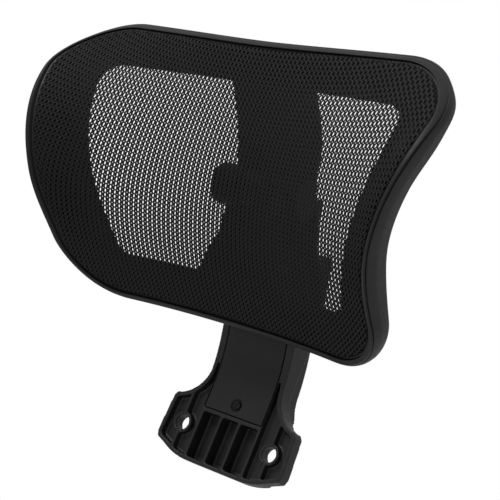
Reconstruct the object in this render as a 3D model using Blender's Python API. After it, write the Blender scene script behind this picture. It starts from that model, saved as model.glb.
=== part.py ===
"""Chair headrest attachment: a mesh headrest on a height-adjustable stem and a tilt hinge.

Frame: metres. -Y is the front, where the head rests, and +Z is up. +X is the right-hand side as seen
from the front, and left and right in names are as seen from there too.
The origin is the middle of the mounting foot's rear face, halfway between its two screw holes.
Three bodies: the bracket, the stem that slides in it, and the headrest that tilts on the stem.
"""
from math import cos, pi, radians, sin

import bmesh
import bpy
from mathutils import Matrix, Vector
from mathutils.geometry import interpolate_bezier

GAP = 0.0003                        # clearance between pieces that touch
SIDES = (("left", -1), ("right", 1))

# Mounting foot, seen from the front in X and Z
FOOT_DEPTH = 0.019                  # front edge of the ribs to the rear face
FOOT_BOTTOM = -0.0235
FOOT_HALF_WIDTH = 0.0538            # at its widest, near the bottom
FOOT_SHOULDER_WIDTH = 0.0522        # half width at the top of the ears
FOOT_WALL = 0.003
FOOT_FLOOR = -0.0085                # floor of the pockets in the middle of the foot
FOOT_REAR_INSET = 0.0035            # the rear of the foot is this much smaller all round
FOOT_REAR_STEP = -0.0060
FOOT_RIB_TOP = 0.0122               # underside of the crossbar below the cover
EAR_TOP = 0.0190
SHOULDER_Z = 0.0205                 # where the rear face steps back onto the sleeve
HOLE_HALF_SPACING = 0.0375
HOLE_RADIUS = 0.0054
BOSS_RADIUS = 0.0075
BOSS_FRONT = -0.0183                # just below the ears' rims
OUTER_RIB_X = 0.0243
INNER_RIB_X = 0.0077
RIB_THICKNESS = 0.002
EAR_WEB_FRONT = -0.0135
EAR_WEB_REAR = -0.0085
EAR_STEP = (0.0415, -0.0085)        # outside this half width the ears end at this depth

# Sleeve above the foot: upright, then an arc, then straight with this lean
SLEEVE_LEAN = radians(20)
SLEEVE_DEPTH = 0.028
SLEEVE_HALF_WIDTH = 0.0305
SLEEVE_LENGTH = 0.065               # straight stretch above the arc
ARC_BOTTOM = 0.030
ARC_RADIUS = 0.105
CHANNEL_HALF_WIDTH = 0.0205
CHANNEL_WALL = 0.003
FLARE_CENTRE = (0.0555, 0.043)
FLARE_RADIUS = 0.025

# Cover plate in the front of the sleeve
COVER_HALF_WIDTH = 0.0245
COVER_THICKNESS = 0.0026
COVER_BOTTOM = 0.0152
COVER_SCREW_Z = 0.023
COVER_SCREW_SEAT = 0.0015

# Stem blade, measured in the sleeve's own frame
SLIDER_HALF_DEPTH = SLEEVE_DEPTH / 2 - CHANNEL_WALL - GAP
BLADE_HALF_WIDTH = 0.019
BLADE_HALF_THICKNESS = 0.005
TONGUE_HALF_WIDTH = 0.016
TONGUE_SPAN = (0.014, 0.0305)
SHOE_SPAN = (0.010, 0.030)
SHOE_SCREW_Y = 0.022
NECK_BOTTOM = 0.092
NECK_HALF_WIDTH = 0.012
BUSH_BOTTOM = 0.0605                # stops the shoe when the stem is raised 30 mm
BUSH_FLANGE = 0.002
PAD_SPAN = (0.015, 0.028)
PAD_HALF_WIDTH = 0.008
PAD_FRONT = -0.0070
BOW_RADIUS = 0.0156                 # the spring behind the tongue, bowed against the pad
BOW_HALF_ANGLE = 20
BOW_THICKNESS = 0.0004

# Headrest panel: chord frame with X across, V up the chord and N out to the front
PANEL_LEAN = radians(27.5)
PANEL_CENTRE = Vector((0, -0.1017, 0.1496))
BULGE = 0.026                       # how far the middle stands out in front of the chord
BULGE_REACH = 0.0902
WRAP = 0.048                        # how far the sides come forward
WRAP_HALF_WIDTH = 0.145
WRAP_MIDDLE = -0.0072
WRAP_REACH = 0.1062
WRAP_DROP = 0.42                    # how the wrap eases off below its middle
WRAP_DROP_REACH = 0.075
STATIONS = 80                       # sections round the rim
BORDER_DEPTH = 0.011                # inner edge of the border behind the mesh
BORDER_THICKNESS = 0.0035
MESH_THICKNESS = 0.0006

# Half of the groove line: knots of a Bezier curve with the handles before and after each
OUTLINE = [
    (None, (0.0, 0.0886), (0.035, 0.0888)),
    ((0.070, 0.0902), (0.104, 0.0906), (0.127, 0.0906)),
    ((0.1478, 0.074), (0.1455, 0.061), (0.1415, 0.038)),
    ((0.1245, -0.012), (0.124, -0.055), (0.1230, -0.074)),
    ((0.106, -0.0880), (0.086, -0.0881), (0.060, -0.0882)),
    ((0.030, -0.0887), (0.0, -0.0887), None),
]
# Half of the opening inside the border: straight edges with rounded corners
OPENING = [
    (None, (0.0, 0.066), (0.030, 0.066)),
    ((0.070, 0.066), (0.103, 0.066), (0.112, 0.066)),
    ((0.118, 0.061), (0.1165, 0.052), (0.110, 0.018)),
    ((0.0985, -0.020), (0.0935, -0.049), (0.093, -0.056)),
    ((0.091, -0.061), (0.083, -0.061), (0.055, -0.061)),
    ((0.030, -0.061), (0.0, -0.061), None),
]
# Rim: place up the chord, then the lip's reach beyond the groove line, its outer edge's distance behind
# the mesh, and the depth of the wall
RIM = [
    (0.0890, 0.0036, 0.0015, 0.0085),
    (0.0790, 0.0042, 0.0022, 0.0085),
    (0.0660, 0.0048, 0.0024, 0.0170),
    (0.0480, 0.0044, 0.0012, 0.0245),
    (0.0250, 0.0038, 0.0003, 0.0225),
    (0.0000, 0.0036, 0.0000, 0.0220),
    (-0.0300, 0.0041, -0.0002, 0.0235),
    (-0.0550, 0.0044, -0.0003, 0.0205),
    (-0.0730, 0.0046, 0.0000, 0.0135),
    (-0.0893, 0.0049, 0.0000, 0.0085),
]
# Bridge between the two windows: place up the chord, half width, distance of its front face
BRIDGE = [
    (0.0870, 0.0400, 0.0005),
    (0.0790, 0.0370, -0.0045),
    (0.0660, 0.0335, -0.0135),
    (0.0450, 0.0335, -0.0225),
    (0.0280, 0.0335, -0.0272),
    (0.0080, 0.0320, -0.0273),
    (-0.0200, 0.0380, -0.0274),
    (-0.0380, 0.0405, -0.0265),
    (-0.0520, 0.0480, -0.0255),
    (-0.0670, 0.0525, -0.0230),
    (-0.0790, 0.0560, -0.0100),
    (-0.0870, 0.0580, -0.0015),
]
BRIDGE_THICKNESS = 0.004
BRIDGE_SLOT = (-0.0200, 0.0074)     # lets the stem's neck through, up the chord
YOKE_SLOT = (-0.0200, 0.0120)

# Tilt hinge
HINGE_V = -0.0035
HINGE_N = -0.0185
KNUCKLE_RADIUS = 0.014
KNUCKLE_SPAN = (0.0138, 0.0280)     # the yoke's knuckles, each side
AXLE_RADIUS = 0.004
WASHER_RADIUS = 0.012
CAP_END = 0.035
YOKE_SEAT = -0.0277                 # rear face of the yoke's base, up the front axis
YOKE_BASE_THICKNESS = 0.003
YOKE_ENDS = (-0.0300, 0.0220)
YOKE_SCREW_X = 0.022
YOKE_SCREW_V = (0.0170, -0.0245)

BLACK_PLASTIC = ((0.028, 0.028, 0.029), 0.48, 0.0)
DARK_PLASTIC = ((0.020, 0.020, 0.021), 0.55, 0.0)
GREY_PLASTIC = ((0.16, 0.16, 0.165), 0.45, 0.0)
MESH_BLACK = ((0.018, 0.018, 0.019), 0.75, 0.0)
STEEL = ((0.50, 0.50, 0.51), 0.32, 1.0)
BLACK_STEEL = ((0.05, 0.05, 0.052), 0.38, 0.8)


# ---------------------------------------------------------------- tools

def clear_scene():
    for obj in list(bpy.data.objects):
        bpy.data.objects.remove(obj, do_unlink=True)


def make_collection(name):
    collection = bpy.data.collections.new(name)
    bpy.context.scene.collection.children.link(collection)
    return collection


def leaning_frame(origin, lean):
    """A frame with X across, Y up along the lean and Z out to the front."""
    up = Vector((0, -sin(lean), cos(lean)))
    front = Vector((0, -cos(lean), -sin(lean)))
    matrix = Matrix((Vector((1, 0, 0)), up, front)).transposed().to_4x4()
    matrix.translation = origin
    return matrix


def make_empty(name, matrix):
    empty = bpy.data.objects.new(name, None)
    parts.objects.link(empty)
    empty.matrix_world = matrix
    return empty


def make_material(name, look):
    colour, roughness, metallic = look
    material = bpy.data.materials.new(name)
    material.use_nodes = True
    shader = material.node_tree.nodes["Principled BSDF"]
    shader.inputs["Base Color"].default_value = (*colour, 1)
    shader.inputs["Roughness"].default_value = roughness
    shader.inputs["Metallic"].default_value = metallic
    return material


def part(name, mesh, look, parent=None, at=(0, 0, 0)):
    obj = bpy.data.objects.new(name, mesh)
    parts.objects.link(obj)
    obj.parent = parent
    obj.location = at
    mesh.materials.append(make_material(name, look))
    mesh.shade_smooth()
    mesh.set_sharp_from_angle(angle=radians(35))
    return obj


def cutter(name, mesh, beside):
    """A tool solid in the same frame as the part that it shapes."""
    obj = bpy.data.objects.new(name, mesh)
    cutters.objects.link(obj)
    obj.parent = beside.parent if beside else None
    obj.location = beside.location if beside else (0, 0, 0)
    obj.hide_render = True
    obj.display_type = "WIRE"
    return obj


def combine(obj, other, operation="DIFFERENCE"):
    modifier = obj.modifiers.new(other.name, "BOOLEAN")
    modifier.operation = operation
    modifier.solver = "EXACT"
    modifier.object = other


def cut(obj, name, mesh):
    combine(obj, cutter(f"{obj.name}_{name}", mesh, obj))


def add(obj, name, mesh):
    combine(obj, cutter(f"{obj.name}_{name}", mesh, obj), "UNION")


def finished(bm, name):
    bmesh.ops.recalc_face_normals(bm, faces=bm.faces)
    mesh = bpy.data.meshes.new(name)
    bm.to_mesh(mesh)
    bm.free()
    return mesh


def box(low, high):
    bm = bmesh.new()
    low, high = Vector(low), Vector(high)
    size = Matrix.Diagonal((*(high - low), 1))
    bmesh.ops.create_cube(bm, size=1, matrix=Matrix.Translation((low + high) / 2) @ size)
    return finished(bm, "box")


def cylinder(radius, start, end, segments=32, far_radius=None):
    """A cylinder, or a cone, from one point to another."""
    start, end = Vector(start), Vector(end)
    along = end - start
    turn = along.to_track_quat("Z", "Y").to_matrix().to_4x4()
    bm = bmesh.new()
    far_radius = radius if far_radius is None else far_radius
    bmesh.ops.create_cone(bm, cap_ends=True, segments=segments, radius1=radius, radius2=far_radius,
                          depth=along.length, matrix=Matrix.Translation((start + end) / 2) @ turn)
    return finished(bm, "cylinder")


ACROSS = Matrix(((0, 0, 1, 0), (1, 0, 0, 0), (0, 1, 0, 0), (0, 0, 0, 1)))      # outline in Y, Z along X
FROM_FRONT = Matrix(((1, 0, 0, 0), (0, 0, 1, 0), (0, 1, 0, 0), (0, 0, 0, 1)))  # outline in X, Z along Y


def prism(outline, low, high, turn=Matrix()):
    """A filled outline, drawn in the first two axes and extruded from low to high along the third."""
    curve = bpy.data.curves.new("outline", "CURVE")
    curve.dimensions = "2D"
    curve.fill_mode = "BOTH"
    curve.extrude = (high - low) / 2
    spline = curve.splines.new("POLY")
    spline.points.add(len(outline) - 1)
    for point, (a, b) in zip(spline.points, outline):
        point.co = (a, b, 0, 1)
    spline.use_cyclic_u = True
    obj = bpy.data.objects.new("outline", curve)
    cutters.objects.link(obj)
    depsgraph = bpy.context.evaluated_depsgraph_get()
    flat = bpy.data.meshes.new_from_object(obj.evaluated_get(depsgraph))
    bpy.data.objects.remove(obj, do_unlink=True)
    bm = bmesh.new()
    bm.from_mesh(flat)
    bmesh.ops.remove_doubles(bm, verts=bm.verts, dist=0.000001)
    bmesh.ops.translate(bm, verts=bm.verts, vec=(0, 0, (low + high) / 2))
    bmesh.ops.transform(bm, matrix=turn, verts=bm.verts)
    return finished(bm, "prism")


def loft(rings, closed):
    """Skin a row of rings of equal length: closed joins the last to the first, else both ends are capped."""
    bm = bmesh.new()
    rows = [[bm.verts.new(point) for point in ring] for ring in rings]
    pairs = list(zip(rows, rows[1:] + rows[:1])) if closed else list(zip(rows, rows[1:]))
    for ring, following in pairs:
        count = len(ring)
        for i in range(count):
            j = (i + 1) % count
            bm.faces.new((ring[i], ring[j], following[j], following[i]))
    if not closed:
        bm.faces.new(rows[0])
        bm.faces.new(rows[-1])
    return finished(bm, "loft")


def arc(centre, radius, start, end, steps):
    """Points on an arc from one angle to another, in degrees."""
    angles = [radians(start + (end - start) * k / steps) for k in range(steps + 1)]
    return [(centre[0] + radius * cos(a), centre[1] + radius * sin(a)) for a in angles]


def mirrored(half):
    """A closed outline from its right half, which runs from bottom to top."""
    return half + [(-x, y) for x, y in reversed(half) if x > 0.000001]


# ---------------------------------------------------------------- bracket

def post_line(depth, bottom, length):
    """Points in Y, Z up the post, at a depth behind its front face: upright, arc, then straight."""
    centre_y = -FOOT_DEPTH - ARC_RADIUS
    lean = SLEEVE_LEAN * 180 / pi
    line = [(-FOOT_DEPTH + depth, bottom)] + arc((centre_y, ARC_BOTTOM), ARC_RADIUS + depth, 0, lean, 6)
    y, z = line[-1]
    line.append((y - length * sin(SLEEVE_LEAN), z + length * cos(SLEEVE_LEAN)))
    return line


def foot_outline(inset):
    """The bracket's outline from the front, drawn in by a wall thickness."""
    bottom_radius = 0.049
    half = [(0, FOOT_BOTTOM + inset)]
    half += arc((0.022, FOOT_BOTTOM + bottom_radius), bottom_radius - inset, 270, 297, 4)
    half += [(FOOT_SHOULDER_WIDTH - inset, -0.0150 + inset * 0.6), (FOOT_HALF_WIDTH - inset, -0.0108)]
    half += [(FOOT_SHOULDER_WIDTH - inset, 0.0160 - inset), (0.0500 - inset * 0.5, EAR_TOP - inset)]
    half += arc(FLARE_CENTRE, FLARE_RADIUS + inset, 253, 180, 8)
    half += [(SLEEVE_HALF_WIDTH - inset, 0.070), (SLEEVE_HALF_WIDTH - inset, 0.170), (0, 0.170)]
    return mirrored(half)


def ear_pocket(bracket, name, wall, front, rear, top):
    """The hollow of both ears between two depths, bounded by the outer wall and the long ribs."""
    pocket = cutter(name, prism(foot_outline(wall), front, rear, FROM_FRONT), bracket)
    inner = OUTER_RIB_X + RIB_THICKNESS / 2
    cut(pocket, "middle", box((-inner, -0.1, -0.1), (inner, 0.1, 0.3)))
    cut(pocket, "above", box((-0.1, -0.1, top), (0.1, 0.1, 0.3)))
    return pocket


def make_bracket():
    top = SLEEVE_LENGTH
    rear = post_line(SLEEVE_DEPTH, ARC_BOTTOM, top)[1:]
    side = post_line(0, FOOT_BOTTOM - 0.01, top) + rear[::-1]
    side += [(0.0075, SHOULDER_Z + 0.0065), (0, SHOULDER_Z), (0, FOOT_BOTTOM - 0.01)]
    bracket = part("mounting_bracket", prism(side, -0.06, 0.06, ACROSS), BLACK_PLASTIC)
    outline = cutter("bracket_outline", prism(foot_outline(0), -0.12, 0.04, FROM_FRONT), bracket)
    combine(bracket, outline, "INTERSECT")
    rear_edge = cutter("rear_edge", box((-0.1, FOOT_REAR_STEP, -0.1), (0.1, 0.01, 0.1)), bracket)
    cut(rear_edge, "kept", prism(foot_outline(FOOT_REAR_INSET), -0.02, 0.02, FROM_FRONT))
    combine(bracket, rear_edge)
    step_x, step_y = EAR_STEP
    for name, sign in SIDES:
        outside = sorted((sign * step_x, sign * 0.1))
        cut(bracket, f"step_{name}", box((outside[0], step_y, -0.04), (outside[1], 0.01, 0.03)))

    # Channel for the stem, open at the top and closed at the front by the cover
    channel = post_line(0.0015, COVER_BOTTOM - GAP, top + 0.005)
    back = post_line(SLEEVE_DEPTH - CHANNEL_WALL, ARC_BOTTOM, top + 0.005)[1:]
    channel += back[::-1] + [(-FOOT_WALL, 0.024), (-FOOT_WALL, COVER_BOTTOM - GAP)]
    cut(bracket, "channel", prism(channel, -CHANNEL_HALF_WIDTH, CHANNEL_HALF_WIDTH, ACROSS))
    recess = post_line(-0.002, COVER_BOTTOM - GAP, top + 0.005)
    recess += post_line(COVER_THICKNESS + GAP, COVER_BOTTOM - GAP, top + 0.005)[::-1]
    recess_width = COVER_HALF_WIDTH + GAP
    cut(bracket, "recess", prism(recess, -recess_width, recess_width, ACROSS))

    # Pockets between the ribs of the foot
    pocket_bottom = FOOT_BOTTOM + FOOT_WALL
    half_rib = RIB_THICKNESS / 2
    edges = [-OUTER_RIB_X, -INNER_RIB_X, INNER_RIB_X, OUTER_RIB_X]
    for number, (left, right) in enumerate(zip(edges, edges[1:])):
        low = (left + half_rib, -FOOT_DEPTH - 0.001, pocket_bottom)
        high = (right - half_rib, FOOT_FLOOR, FOOT_RIB_TOP)
        cut(bracket, f"pocket_{number}", box(low, high))
    front = ear_pocket(bracket, "ear_front", FOOT_WALL, -FOOT_DEPTH - 0.001, EAR_WEB_FRONT, 0.060)
    ear_holes = [(name, sign * HOLE_HALF_SPACING) for name, sign in SIDES]
    for name, x in ear_holes:
        cut(front, f"boss_{name}", cylinder(BOSS_RADIUS, (x, BOSS_FRONT, 0), (x, 0.01, 0)))
        cut(front, f"rib_{name}", box((x - half_rib, -0.03, -0.04), (x + half_rib, 0.01, 0.04)))
    combine(bracket, front)
    rear_wall = FOOT_REAR_INSET + FOOT_WALL
    combine(bracket, ear_pocket(bracket, "ear_rear", rear_wall, EAR_WEB_REAR, 0.001, 0.0140))
    for name, x in ear_holes:
        cut(bracket, f"hole_{name}", cylinder(HOLE_RADIUS, (x, -0.03, 0), (x, 0.01, 0)))

    # Post for the cover's screw
    post_front = -FOOT_DEPTH + COVER_THICKNESS + GAP
    place = (0, post_front, COVER_SCREW_Z)
    add(bracket, "screw_post", cylinder(0.004, place, (0, -FOOT_WALL + 0.001, COVER_SCREW_Z)))
    cut(bracket, "screw_hole", cylinder(0.0015, (0, post_front - 0.001, COVER_SCREW_Z),
                                        (0, post_front + 0.011, COVER_SCREW_Z), 16))
    return bracket


def make_cover():
    outline = post_line(0, COVER_BOTTOM, SLEEVE_LENGTH)
    outline += post_line(COVER_THICKNESS, COVER_BOTTOM, SLEEVE_LENGTH)[::-1]
    plate = prism(outline, -COVER_HALF_WIDTH, COVER_HALF_WIDTH, ACROSS)
    cover = part("post_front_cover", plate, BLACK_PLASTIC)
    seat = (0, -FOOT_DEPTH + COVER_SCREW_SEAT, COVER_SCREW_Z)
    cut(cover, "seat", cylinder(0.0037, (0, -FOOT_DEPTH - 0.001, COVER_SCREW_Z), seat))
    cut(cover, "hole", cylinder(0.0017, (0, seat[1] - 0.001, COVER_SCREW_Z), (0, 0, COVER_SCREW_Z), 16))


def make_screw(name, head_place, direction, parent=None, head_radius=0.0032, head_height=0.0012,
               shank_radius=0.0012, length=0.009, look=BLACK_STEEL):
    """A cross-head screw: the underside of its head at a point, its shank along a direction."""
    place, along = Vector(head_place), Vector(direction).normalized()
    top = place - along * head_height
    screw = part(name, cylinder(head_radius, place, top, 24, head_radius * 0.82), look, parent)
    add(screw, "shank", cylinder(shank_radius, place - along * 0.0004, place + along * length, 12))
    side = along.orthogonal().normalized()
    for number, arm in enumerate((side, along.cross(side))):
        spread = arm * head_radius * 0.6
        slot = cylinder(0.0005, top - spread, top + spread, 4)
        cut(screw, f"slot_{number}", slot)
    return screw


# ---------------------------------------------------------------- stem

def make_stem():
    """The blade and its bent neck, drawn in the sleeve's frame with the middle knuckle on the hinge."""
    axis = SLEEVE.inverted() @ HINGE
    thickness = BLADE_HALF_THICKNESS
    blade = box((-BLADE_HALF_WIDTH, SHOE_SPAN[1] + GAP, -thickness),
                (BLADE_HALF_WIDTH, NECK_BOTTOM + 0.012, thickness))
    stem = part("height_stem", blade, BLACK_PLASTIC, slide)
    bottom, top = TONGUE_SPAN
    add(stem, "tongue", box((-TONGUE_HALF_WIDTH, bottom, -thickness), (TONGUE_HALF_WIDTH, top, thickness)))
    neck = [(NECK_BOTTOM, -thickness), (NECK_BOTTOM, 0.010)]
    neck += [(axis.y - 0.0075, axis.z - 0.004), (axis.y + 0.0065, axis.z - 0.004)]
    neck += [(NECK_BOTTOM + 0.016, 0.006), (NECK_BOTTOM + 0.012, -thickness)]
    add(stem, "neck", prism(neck, -NECK_HALF_WIDTH, NECK_HALF_WIDTH, ACROSS))
    half = Vector((NECK_HALF_WIDTH, 0, 0))
    add(stem, "knuckle", cylinder(KNUCKLE_RADIUS - 0.0005, axis - half, axis + half, 40))
    cut(stem, "bore", cylinder(AXLE_RADIUS + GAP, axis - 2 * half, axis + 2 * half, 24))
    hole = cylinder(0.0015, (0, SHOE_SCREW_Y, thickness + 0.001), (0, SHOE_SCREW_Y, -thickness - 0.001), 16)
    cut(stem, "screw_hole", hole)


def make_shoe():
    """A cup round the foot of the blade, which runs in the sleeve's channel."""
    front = SLIDER_HALF_DEPTH
    outer = CHANNEL_HALF_WIDTH - GAP
    bottom, top = SHOE_SPAN
    shoe = part("stem_shoe", box((-outer, bottom, -front), (outer, top, front)), GREY_PLASTIC, slide)
    wide = TONGUE_HALF_WIDTH + GAP
    thick = BLADE_HALF_THICKNESS + GAP
    cut(shoe, "socket", box((-wide, TONGUE_SPAN[0] - GAP, -thick), (wide, top + 0.01, thick)))
    seat = front - 0.0018
    cut(shoe, "screw_seat", cylinder(0.0029, (0, SHOE_SCREW_Y, front + 0.001), (0, SHOE_SCREW_Y, seat), 24))
    cut(shoe, "screw_hole", cylinder(0.0015, (0, SHOE_SCREW_Y, seat + 0.001), (0, SHOE_SCREW_Y, 0), 16))
    pad_room = box((-PAD_HALF_WIDTH - GAP, PAD_SPAN[0] - GAP, -front - 0.001),
                   (PAD_HALF_WIDTH + GAP, PAD_SPAN[1] + GAP, 0))
    cut(shoe, "pad_pocket", pad_room)
    place = (0, SHOE_SCREW_Y, seat + GAP)
    make_screw("shoe_screw", place, (0, 0, -1), slide, head_radius=0.0025, length=0.010)


def make_bush():
    """The collar in the sleeve's mouth, with a flange over its rim."""
    outer = CHANNEL_HALF_WIDTH - GAP
    inside = SLIDER_HALF_DEPTH
    flange_bottom = SLEEVE_LENGTH + GAP
    collar = box((-outer, BUSH_BOTTOM, -inside), (outer, flange_bottom + 0.0005, inside))
    bush = part("stem_guide_bush", collar, GREY_PLASTIC, sleeve_mouth)
    rim_x = SLEEVE_HALF_WIDTH - 0.0005
    rim_z = SLEEVE_DEPTH / 2 - 0.0005
    flange = box((-rim_x, flange_bottom, -rim_z), (rim_x, flange_bottom + BUSH_FLANGE, rim_z))
    add(bush, "flange", flange)
    wide = BLADE_HALF_WIDTH + GAP
    thick = BLADE_HALF_THICKNESS + GAP
    cut(bush, "slot", box((-wide, BUSH_BOTTOM - 0.01, -thick), (wide, SLEEVE_LENGTH + 0.02, thick)))


def make_height_brake():
    """A pad in the shoe that a bow spring presses on the channel's rear wall, which holds the height."""
    pad = box((-PAD_HALF_WIDTH, PAD_SPAN[0], -SLIDER_HALF_DEPTH), (PAD_HALF_WIDTH, PAD_SPAN[1], PAD_FRONT))
    part("friction_pad", pad, DARK_PLASTIC, slide)
    centre = (sum(PAD_SPAN) / 2, -BLADE_HALF_THICKNESS - GAP - BOW_RADIUS)
    start, end = 90 + BOW_HALF_ANGLE, 90 - BOW_HALF_ANGLE
    bow = arc(centre, BOW_RADIUS, start, end, 8)
    bow += arc(centre, BOW_RADIUS - BOW_THICKNESS, end, start, 8)
    part("pad_spring", prism(bow, -0.005, 0.005, ACROSS), STEEL, slide)


# ---------------------------------------------------------------- headrest panel

def panel_surface(x, v):
    """How far the mesh stands in front of the chord plane: a bulge up and down, a wrap at the sides."""
    bulge = BULGE * (1 - (v / BULGE_REACH) ** 2)
    if v > WRAP_MIDDLE:
        share = 1 - ((v - WRAP_MIDDLE) / WRAP_REACH) ** 2
    else:
        share = 1 - WRAP_DROP * smooth_step(WRAP_MIDDLE - v, 0, WRAP_DROP_REACH)
    return bulge + WRAP * (x / WRAP_HALF_WIDTH) ** 2 * share


def on_panel(x, v, behind):
    return Vector((x, v, panel_surface(x, v) - behind))


def smooth_step(value, low, high):
    t = min(max((value - low) / (high - low), 0), 1)
    return t * t * (3 - 2 * t)


def bezier_path(knots):
    points = []
    for (_, start, leave), (arrive, end, _) in zip(knots, knots[1:]):
        corners = [Vector((*place, 0)) for place in (start, leave, arrive, end)]
        points += interpolate_bezier(*corners, 24)[:-1]
    return points + [corners[-1]]


def even_steps(points, count):
    """The same path as count + 1 points at equal distances."""
    lengths = [0]
    for before, after in zip(points, points[1:]):
        lengths.append(lengths[-1] + (after - before).length)
    result = []
    segment = 0
    for k in range(count + 1):
        target = lengths[-1] * k / count
        while segment < len(points) - 2 and lengths[segment + 1] < target:
            segment += 1
        share = (target - lengths[segment]) / (lengths[segment + 1] - lengths[segment])
        result.append(points[segment].lerp(points[segment + 1], min(share, 1)))
    return result


def closed_path(knots, count):
    """Evenly spaced points right round an outline that is given by its right half."""
    half = even_steps(bezier_path(knots), count // 2)
    other = [Vector((-p.x, p.y, 0)) for p in reversed(half[1:-1])]
    return half + other


def outward_normals(points):
    normals = []
    count = len(points)
    for i in range(count):
        along = (points[(i + 1) % count] - points[i - 1]).normalized()
        normals.append(Vector((-along.y, along.x, 0)))
    return normals


def rim_section(base, outward, inner):
    """One section of the rim and its border, from the mesh ledge round the outside and back."""
    reach, drop, depth = curve_through(RIM, base.y)
    profile = [
        (-0.0014, 0.0011), (-0.0014, 0.0042), (0.0010, 0.0042), (0.0010, -0.0002),
        (0.0017, -0.0010), (reach - 0.0009, drop - 0.0007), (reach, drop + 0.0004),
        (reach + 0.0003, (drop + depth) / 2), (reach, depth * 0.85), (reach - 0.0007, depth * 0.97),
        ((reach + 0.0006) / 2, depth), (0.0008, depth * 0.96), (0.0006, 0.0070), (-0.0035, 0.0064),
    ]
    ring = []
    for offset, behind in profile:
        place = base + outward * offset
        ring.append(on_panel(place.x, place.y, behind))
    ledge = base - outward * 0.006
    slope = [(0.35, 0.45), (0.70, 0.85), (1.0, 1.0)]
    rear = [(share, BORDER_DEPTH * fall + BORDER_THICKNESS) for share, fall in slope]
    front = [(share, BORDER_DEPTH * fall) for share, fall in reversed(slope)] + [(0, 0.0018)]
    for share, behind in rear + front:
        place = ledge.lerp(inner, share)
        ring.append(on_panel(place.x, place.y, behind))
    return ring


def curve_through(rows, position):
    """Smooth values between rows of (position, value, value), whose positions fall."""
    for index in range(len(rows) - 2):
        if position >= rows[index + 1][0]:
            break
    else:
        index = len(rows) - 2
    before, after = rows[index], rows[index + 1]
    outer = rows[max(index - 1, 0)], rows[min(index + 2, len(rows) - 1)]
    t = (position - before[0]) / (after[0] - before[0])
    values = []
    for k in range(1, len(before)):
        start = (after[k] - outer[0][k]) / (after[0] - outer[0][0]) * (after[0] - before[0])
        end = (outer[1][k] - before[k]) / (outer[1][0] - before[0]) * (after[0] - before[0])
        rise = after[k] - before[k]
        values.append(before[k] + start * t + (3 * rise - 2 * start - end) * t ** 2
                      + (start + end - 2 * rise) * t ** 3)
    return values


def make_frame():
    line = closed_path(OUTLINE, STATIONS)
    inner = closed_path(OPENING, STATIONS)
    normals = outward_normals(line)
    rings = [rim_section(*station) for station in zip(line, normals, inner)]
    frame = part("headrest_frame", loft(rings, closed=True), BLACK_PLASTIC, tilt, PANEL_FROM_HINGE)

    steps = 20
    top, bottom = BRIDGE[0][0], BRIDGE[-1][0]
    sections = []
    for k in range(steps + 1):
        v = top + (bottom - top) * k / steps
        half_width, front = curve_through(BRIDGE, v)
        rear = front - BRIDGE_THICKNESS
        sections.append([Vector((-half_width, v, front)), Vector((half_width, v, front)),
                         Vector((half_width, v, rear)), Vector((-half_width, v, rear))])
    add(frame, "bridge", loft(sections, closed=False))
    seat_low = (-CAP_END - 0.001, YOKE_ENDS[0] - 0.0005, YOKE_SEAT - GAP)
    cut(frame, "yoke_seat", box(seat_low, (CAP_END + 0.001, YOKE_ENDS[1] + 0.0005, 0.01)))
    slot = box((-KNUCKLE_SPAN[0], BRIDGE_SLOT[0], -0.045), (KNUCKLE_SPAN[0], BRIDGE_SLOT[1], -0.010))
    cut(frame, "neck_slot", slot)
    for number, (x, v) in enumerate(yoke_screw_places()):
        cut(frame, f"screw_hole_{number}", cylinder(0.0017, (x, v, -0.045), (x, v, -0.015), 16))


def make_mesh():
    """The stretched mesh: a thin closed sheet inside the groove line."""
    line = closed_path(OUTLINE, STATIONS)
    normals = outward_normals(line)
    edge = [point + normal * 0.0007 for point, normal in zip(line, normals)]
    bm = bmesh.new()
    sides = []
    for behind in (0, MESH_THICKNESS):
        rows = []
        for share in (1, 0.955, 0.87, 0.74, 0.58, 0.40, 0.20):
            rows.append([bm.verts.new(on_panel(p.x * share, p.y * share, behind)) for p in edge])
        middle = bm.verts.new(on_panel(0, 0, behind))
        for outer, following in zip(rows, rows[1:]):
            for i in range(STATIONS):
                j = (i + 1) % STATIONS
                bm.faces.new((outer[i], outer[j], following[j], following[i]))
        for i in range(STATIONS):
            bm.faces.new((rows[-1][i], rows[-1][(i + 1) % STATIONS], middle))
        sides.append(rows[0])
    for i in range(STATIONS):
        j = (i + 1) % STATIONS
        bm.faces.new((sides[0][i], sides[0][j], sides[1][j], sides[1][i]))
    part("mesh_fabric", finished(bm, "mesh"), MESH_BLACK, tilt, PANEL_FROM_HINGE)


def make_edge_strip():
    """The strip at the mesh's hem, pressed into the groove."""
    line = closed_path(OUTLINE, STATIONS)
    rings = []
    for base, outward in zip(line, outward_normals(line)):
        corners = [(-0.0011, 0.0012), (-0.0011, 0.0039), (0.0007, 0.0039), (0.0007, 0.0012)]
        ring = []
        for offset, behind in corners:
            place = base + outward * offset
            ring.append(on_panel(place.x, place.y, behind))
        rings.append(ring)
    part("mesh_edge_strip", loft(rings, closed=True), DARK_PLASTIC, tilt, PANEL_FROM_HINGE)


# ---------------------------------------------------------------- tilt hinge

def yoke_screw_places():
    return [(x, v) for v in YOKE_SCREW_V for x in (YOKE_SCREW_X, -YOKE_SCREW_X)]


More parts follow.
